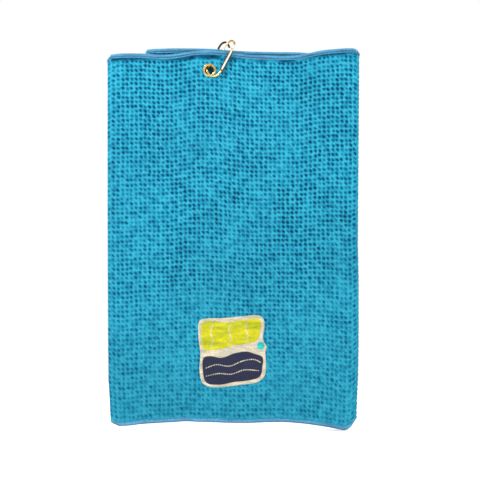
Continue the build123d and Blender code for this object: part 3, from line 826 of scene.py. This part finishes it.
# Outlines as (x, z), clockwise from the upper left as seen from the front
BACKING = [(-36.7, 115.3), (-29.2, 119.0), (-12.2, 119.6), (7.0, 121.2), (24.1, 122.8),
           (31.6, 119.6), (33.2, 110.0), (31.4, 98.2), (35.3, 89.7), (34.2, 82.2),
           (34.8, 70.5), (33.2, 57.7), (24.1, 50.8), (7.0, 48.3), (-10.0, 46.0),
           (-26.0, 46.5), (-34.0, 52.4), (-36.2, 66.2), (-35.1, 81.2), (-37.2, 98.2)]
FLAG = [(-33.5, 113.2), (-25.0, 116.4), (-10.0, 114.8), (7.0, 116.9), (24.1, 119.0),
        (29.4, 115.8), (28.4, 104.6), (25.0, 96.2), (15.6, 92.6), (0.6, 90.4),
        (-14.3, 86.6), (-29.2, 85.4), (-33.5, 90.6), (-34.0, 101.4)]
MOUND = [(-32.4, 75.8), (-25.0, 79.0), (-12.2, 77.4), (0.6, 82.0), (13.4, 84.0),
         (22.5, 81.6), (31.0, 78.0), (31.0, 68.4), (28.4, 57.7), (17.7, 53.4),
         (0.6, 51.3), (-14.3, 48.6), (-27.1, 49.7), (-31.9, 57.7)]
BALL_X, BALL_Z, BALL_RADIUS = 29.2, 90.2, 4.0
BALL = [(BALL_X + BALL_RADIUS * math.cos(a), BALL_Z + BALL_RADIUS * math.sin(a))
        for a in np.linspace(0, 2 * math.pi, 17)[:-1]]

patch("emblem_border", CREAM, "emblem_backing", BACKING,
      standoff=0.25, height=0.45, step=0.6,
      ridge_angle=1.2, ridge_pitch=1.5, ridge_height=0.22, crown=1.4, bead=(2.2, 0.45))
patch("emblem_pennant", LIME, "emblem_flag", FLAG,
      standoff=0.62, height=0.62, step=0.42,
      ridge_angle=0.55, ridge_pitch=1.9, ridge_height=0.52, crown=1.5)
patch("emblem_green", NAVY, "emblem_mound", MOUND,
      standoff=0.62, height=0.62, step=0.42,
      ridge_angle=-0.5, ridge_pitch=1.9, ridge_height=0.60, crown=1.5)
patch("emblem_dot", CYAN, "emblem_ball", BALL,
      standoff=0.9, height=0.7, step=0.3,
      ridge_angle=0.2, ridge_pitch=1.1, ridge_height=0.16, crown=1.8)


def cords(name, paths, radius, standoff, sides=8):
    """Raised satin cords: twisted tubes along open (x, z) paths."""
    verts, faces = [], []
    angle = np.arange(sides) * math.pi / 4
    for path in paths:
        points = np.array(path, float)
        last = len(points) - 1
        t = np.linspace(0, last, len(points) * 14)
        i = np.clip(t.astype(int), 0, last - 1)
        before, start, end, after = (points[np.clip(i + k, 0, last)] for k in (-1, 0, 1, 2))
        curve = catmull_rom(before, start, end, after, (t - i)[:, None])
        along = np.gradient(curve, axis=0)
        along /= np.linalg.norm(along, axis=1)[:, None] + 1e-9
        length = path_lengths(curve)
        taper = np.clip(np.minimum(length, length[-1] - length) / (1.2 * radius), 0.12, 1) ** 0.5
        ring_radius = (radius * taper * (1 + 0.07 * np.sin(length * 7.5)))[:, None]
        x, z = curve[:, :1], curve[:, 1:]
        sideways = ring_radius * np.cos(angle)
        tube = np.stack([x - along[:, 1:] * sideways,
                         FRONT.y + wave(x, z) - standoff - 0.75 * ring_radius * np.sin(angle),
                         z + along[:, :1] * sideways], -1)
        faces += tube_faces(len(curve), sides, base=len(verts))
        verts.extend(tube.reshape(-1, 3))
    piece = mesh_object(name, verts, faces, recalc=True)
    finish_piece(piece, CREAM, "towel")


FLAG_CORDS = [
    [(-24.5, 87.6), (-22.0, 95.0), (-24.0, 104.0), (-21.5, 114.2)],
    [(-5.5, 90.6), (-2.5, 98.5), (-5.0, 106.5), (-2.5, 114.0)],
    [(13.5, 93.6), (15.5, 101.0), (13.0, 109.0), (15.5, 116.0)]]
MOUND_CORDS = [
    [(-30.0, 66.0), (-18.0, 70.0), (-4.0, 68.5), (10.0, 74.0), (22.0, 75.5), (29.5, 72.0)],
    [(-29.5, 57.5), (-16.0, 60.5), (-2.0, 60.0), (12.0, 64.5), (28.0, 63.5)]]
cords("emblem_cords", FLAG_CORDS + MOUND_CORDS, radius=0.75, standoff=1.25)


# ------------------------------------------------------------------ metal, on the CAD shapes
def metal_material(name, dark, light, roughness):
    material, tree, shader = new_material(name)
    position = object_position(tree)
    tarnish = noise(tree, position, scale=240.0, detail=4.0, roughness=0.6)
    grain = noise(tree, position, scale=2600.0, detail=2.0)
    set_inputs(tree, shader, {
        "Base Color": color_ramp(tree, tarnish, [(0.3, srgb(*dark)), (0.68, srgb(*light))]),
        "Roughness": map_range(tree, tarnish, source=(0.0, 1.0), target=roughness),
        "Metallic": 1.0,
        "Normal": bump(tree, grain, strength=0.12, distance=0.0001)})
    return material


def position_along(tree, piece, origin, direction, span):
    """0..1 along a world direction; origin in millimetres, span in metres from it."""
    to_local = piece.matrix_world.inverted()
    local_origin = to_local @ Vector([c / MM for c in origin])
    local_direction = to_local.to_3x3() @ Vector(direction)
    offset = add_node(tree, "VectorMath", {0: object_position(tree), 1: local_origin},
                      operation="SUBTRACT").outputs[0]
    distance = add_node(tree, "VectorMath", {0: offset, 1: local_direction},
                        operation="DOT_PRODUCT").outputs["Value"]
    return map_range(tree, distance, source=span)


def tone_base(tree, tone, **mix):
    """Mix a tone over the present base colour."""
    shader = node_of_type(tree, "BSDF_PRINCIPLED")
    base = shader.inputs["Base Color"].links[0].from_socket
    set_inputs(tree, shader, {"Base Color": mix_color(tree, base, tone, **mix)})


def paint_shade_upwards(node, span, dark):
    """Painted shade: darken a piece upwards over a span of heights above z = 400 mm."""
    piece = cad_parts[node]
    tree = piece.material_slots[0].material.node_tree
    up = position_along(tree, piece, (0.0, 0.0, 400.0), (0.0, 0.0, 1.0), span)
    tone_base(tree, color_ramp(tree, up, [(0.0, (1, 1, 1, 1)), (1.0, dark)]))


def paint_gate_highlight():
    """Painted highlight: a bright, less metallic core between bands of painted shade, across the
    tilted gate channel.
    """
    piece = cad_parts["gate_channel"]
    tree = piece.material_slots[0].material.node_tree
    tilt = math.radians(27.87)
    across = position_along(tree, piece, (-12.69, 0.0, 383.27),
                            (math.cos(tilt), 0.0, -math.sin(tilt)), (-0.0017, 0.0017))
    tone = color_ramp(tree, across, [
        (0.03, srgb(112, 70, 34)), (0.20, srgb(206, 162, 112)), (0.32, srgb(255, 250, 240)),
        (0.66, srgb(255, 252, 244)), (0.82, srgb(178, 128, 84)), (0.97, srgb(70, 44, 24))])
    white, grey = (1, 1, 1, 1), (0.35, 0.35, 0.35, 1)
    metallic = color_ramp(tree, across, [(0.2, white), (0.30, grey), (0.68, grey), (0.8, white)])
    set_inputs(tree, node_of_type(tree, "BSDF_PRINCIPLED"), {"Metallic": metallic})
    tone_base(tree, tone, blend="MIX", factor=0.92)


# material, dark and light sRGB colours, roughness range, CAD nodes
METALS = [
    ("clip_wire_brass", (196, 158, 92), (242, 218, 150), (0.16, 0.32), ["clip_hinge_lug"]),
    # a copy of the wire brass for the top bow, to carry its painted shade
    ("clip_wire_brass_bow", (196, 158, 92), (242, 218, 150), (0.16, 0.32), ["clip_wire"]),
    # paler brass on the gate hook: painted highlight
    ("gate_hook_brass", (214, 184, 124), (250, 236, 190), (0.16, 0.32), ["gate_hook"]),
    ("eyelet_brass", (205, 160, 84), (248, 222, 150), (0.18, 0.34),
     ["eyelet_barrel", "eyelet_washer"]),
    # near-white brass on the gate: painted highlight
    ("gate_brass", (226, 208, 168), (252, 244, 222), (0.14, 0.3), ["gate_channel"]),
    ("rivet_bronze", (104, 62, 26), (168, 112, 58), (0.3, 0.5), ["gate_rivet"]),
    ("spring_steel", (120, 122, 126), (190, 192, 198), (0.2, 0.4), ["gate_spring"])]

for name, dark, light, roughness, nodes in METALS:
    material = metal_material(name, dark, light, roughness)
    for node in nodes:
        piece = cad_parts[node]
        # a CAD piece may come without a slot
        if not piece.material_slots:
            piece.data.materials.append(None)
        for slot in piece.material_slots:
            slot.material = material

# painted shade on the clip's top bow and the upper gate hook
paint_shade_upwards("clip_wire", span=(0.004, 0.0075), dark=(0.10, 0.075, 0.05, 1))
paint_shade_upwards("gate_hook", span=(0.009, 0.0145), dark=(0.62, 0.55, 0.45, 1))
paint_gate_highlight()


# ------------------------------------------------------------------ stage, light, camera (metres)
def floor_material():
    """White paper that, to the camera, fades to pure white away from the towel."""
    material, tree, shader = new_material("floor_paper")
    mottle = noise(tree, None, scale=6.0, detail=2.0)
    paper = color_ramp(tree, mottle, [(0.3, (0.93, 0.93, 0.93, 1)), (0.7, (0.97, 0.97, 0.97, 1))])
    set_inputs(tree, shader, {
        "Base Color": paper,
        "Roughness": 0.9,
        "Emission Color": (1, 1, 1, 1),
        "Emission Strength": 0.34})
    distance = add_node(tree, "VectorMath", {0: object_position(tree)}, operation="LENGTH")
    fade = map_range(tree, distance.outputs["Value"], source=(0.12, 0.55),
                     interpolation_type="SMOOTHSTEP")
    camera_ray = add_node(tree, "LightPath").outputs["Is Camera Ray"]
    fade = math_node(tree, "MULTIPLY", fade, camera_ray)
    white = add_node(tree, "Emission", {"Color": (1, 1, 1, 1), "Strength": 1.0})
    mix = add_node(tree, "MixShader", {0: fade, 1: shader.outputs[0], 2: white.outputs[0]})
    set_inputs(tree, node_of_type(tree, "OUTPUT_MATERIAL"), {"Surface": mix.outputs[0]})
    return material


def build_world():
    """Grey sky, brighter overhead, that the camera sees as white."""
    world = bpy.data.worlds.new("studio")
    bpy.context.scene.world = world
    world.use_nodes = True
    tree = world.node_tree
    tree.nodes.clear()
    direction = add_node(tree, "TexCoord").outputs["Generated"]
    height = add_node(tree, "SeparateXYZ", {0: direction}).outputs[2]
    sky = color_ramp(tree, map_range(tree, height, source=(-1.0, 1.0)), [
        (0.30, (0.10, 0.10, 0.11, 1)), (0.48, (0.28, 0.28, 0.30, 1)),
        (0.60, (0.85, 0.86, 0.88, 1)), (0.95, (1.25, 1.25, 1.28, 1))])
    lit = add_node(tree, "Background", {"Color": sky, "Strength": 0.72})
    seen = add_node(tree, "Background", {"Color": (1, 1, 1, 1), "Strength": 1.0})
    camera_ray = add_node(tree, "LightPath").outputs["Is Camera Ray"]
    mix = add_node(tree, "MixShader", {0: camera_ray, 1: lit.outputs[0], 2: seen.outputs[0]})
    add_node(tree, "OutputWorld", {"Surface": mix.outputs[0]})


def area_light(name, location, target, size, power):
    data = bpy.data.lights.new(name, "AREA")
    data.size = size
    data.energy = power
    light = bpy.data.objects.new(name, data)
    bpy.context.collection.objects.link(light)
    light.location = location
    aim = Vector(target) - Vector(location)
    light.rotation_euler = aim.to_track_quat("-Z", "Y").to_euler()


def build_camera():
    """Camera in front of the towel, looking along +Y."""
    lens, sensor = 85.0, 36.0     # millimetres
    view_width = 0.512            # width seen at the plane y = view_y
    view_y = -0.002
    data = bpy.data.cameras.new("camera")
    camera = bpy.data.objects.new("camera", data)
    bpy.context.collection.objects.link(camera)
    data.lens = lens
    data.sensor_width = sensor
    camera.location = (0.00704, view_y - view_width * lens / sensor, 0.2028)
    camera.rotation_euler = (math.radians(90), 0, 0)
    bpy.context.scene.camera = camera


paper = floor_material()
bpy.ops.mesh.primitive_grid_add(x_subdivisions=4, y_subdivisions=4, size=12,
                                location=(0, 0, -0.0006))
floor = bpy.context.object
floor.name = "floor"
floor.data.materials.append(paper)

build_world()
area_light("key", (-0.85, -0.75, 1.25), target=(0, 0, 0.22), size=0.30, power=15.0)
area_light("fill", (0.9, -1.3, 0.5), target=(0, 0, 0.2), size=1.0, power=2.5)
area_light("back", (0.6, 1.3, 1.2), target=(0, 0, 0.2), size=0.8, power=14.0)
build_camera()
bpy.context.scene.view_settings.view_transform = "Standard"
